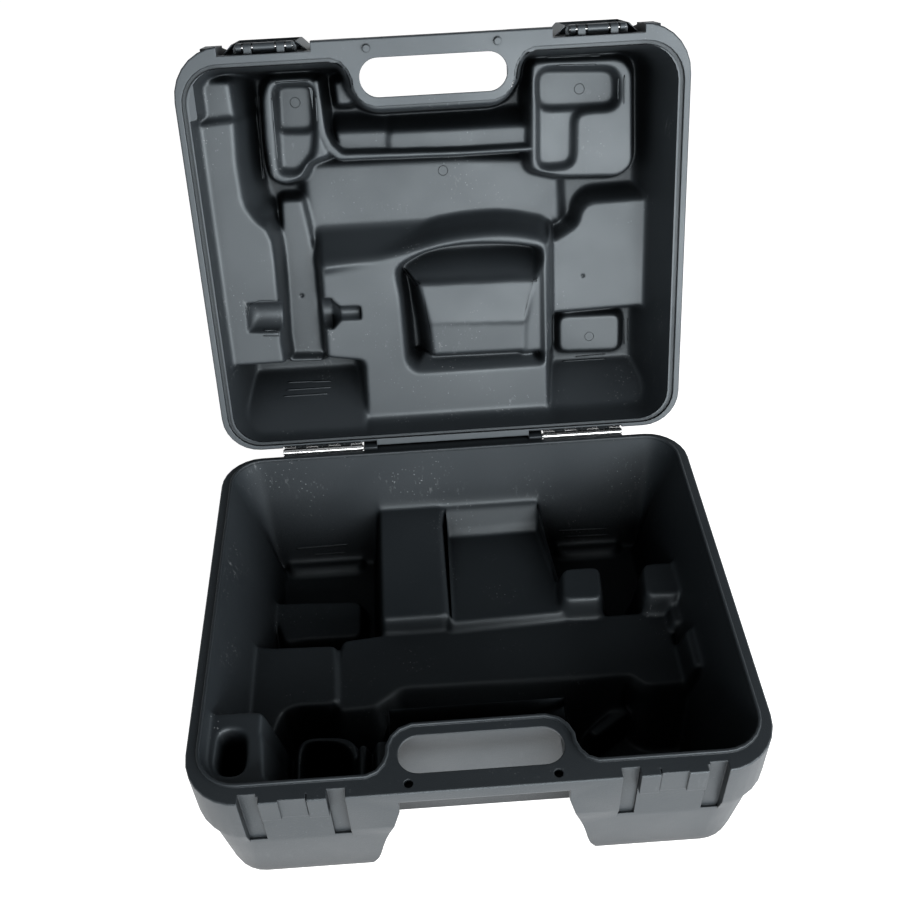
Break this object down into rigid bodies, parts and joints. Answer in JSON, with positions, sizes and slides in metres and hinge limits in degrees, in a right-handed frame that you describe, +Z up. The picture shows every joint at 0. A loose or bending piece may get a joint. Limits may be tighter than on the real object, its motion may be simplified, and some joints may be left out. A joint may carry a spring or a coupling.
{
  "type": "hard tool case",
  "caption": "Open hard tool case with moulded storage forms, a lid on knuckle hinges, draw latches folded back and a hand slot through both halves.",
  "frame": {"origin": "centre of the flat face the base stands on", "axes": "+X to the right seen from the front, +Y to the back where the hinges are, +Z up"},
  "size_m": [0.4, 0.5007, 0.4472],
  "materials": {
    "base_plastic": "fine moulded grain, dusty",
    "lid_plastic": "fine moulded grain, dusty",
    "latch_plastic": "smooth",
    "leaf_steel": "rolled and bright",
    "pin_steel": "drawn wire",
    "screw_steel": "plated"
  },
  "bodies": {
    "base": {"base_shell": "base_plastic", "hinge_left_base_leaf": "leaf_steel", "hinge_left_pin": "pin_steel", "hinge_left_base_screws": "screw_steel", "hinge_right_base_leaf": "leaf_steel", "hinge_right_pin": "pin_steel", "hinge_right_base_screws": "screw_steel"},
    "lid": {"lid_shell": "lid_plastic", "hinge_left_lid_leaf": "leaf_steel", "hinge_left_lid_screws": "screw_steel", "hinge_right_lid_leaf": "leaf_steel", "hinge_right_lid_screws": "screw_steel", "latch_left_pin": "pin_steel", "latch_right_pin": "pin_steel"},
    "latch_left": {"latch_left": "latch_plastic"},
    "latch_right": {"latch_right": "latch_plastic"}
  },
  "joints": [
    {"name": "lid_hinge", "type": "hinge", "parent": "base", "child": "lid", "pos_m": [0, 0.16965, 0.12892], "axis": [1, 0, 0], "range_deg": [0, 108.35]},
    {"name": "latch_left_hinge", "type": "hinge", "parent": "lid", "child": "latch_left", "pos_m": [-0.1267, 0.28145, 0.44257], "axis": [1, 0, 0], "range_deg": [0, 180]},
    {"name": "latch_right_hinge", "type": "hinge", "parent": "lid", "child": "latch_right", "pos_m": [0.1267, 0.28145, 0.44257], "axis": [1, 0, 0], "range_deg": [0, 180]}
  ]
}
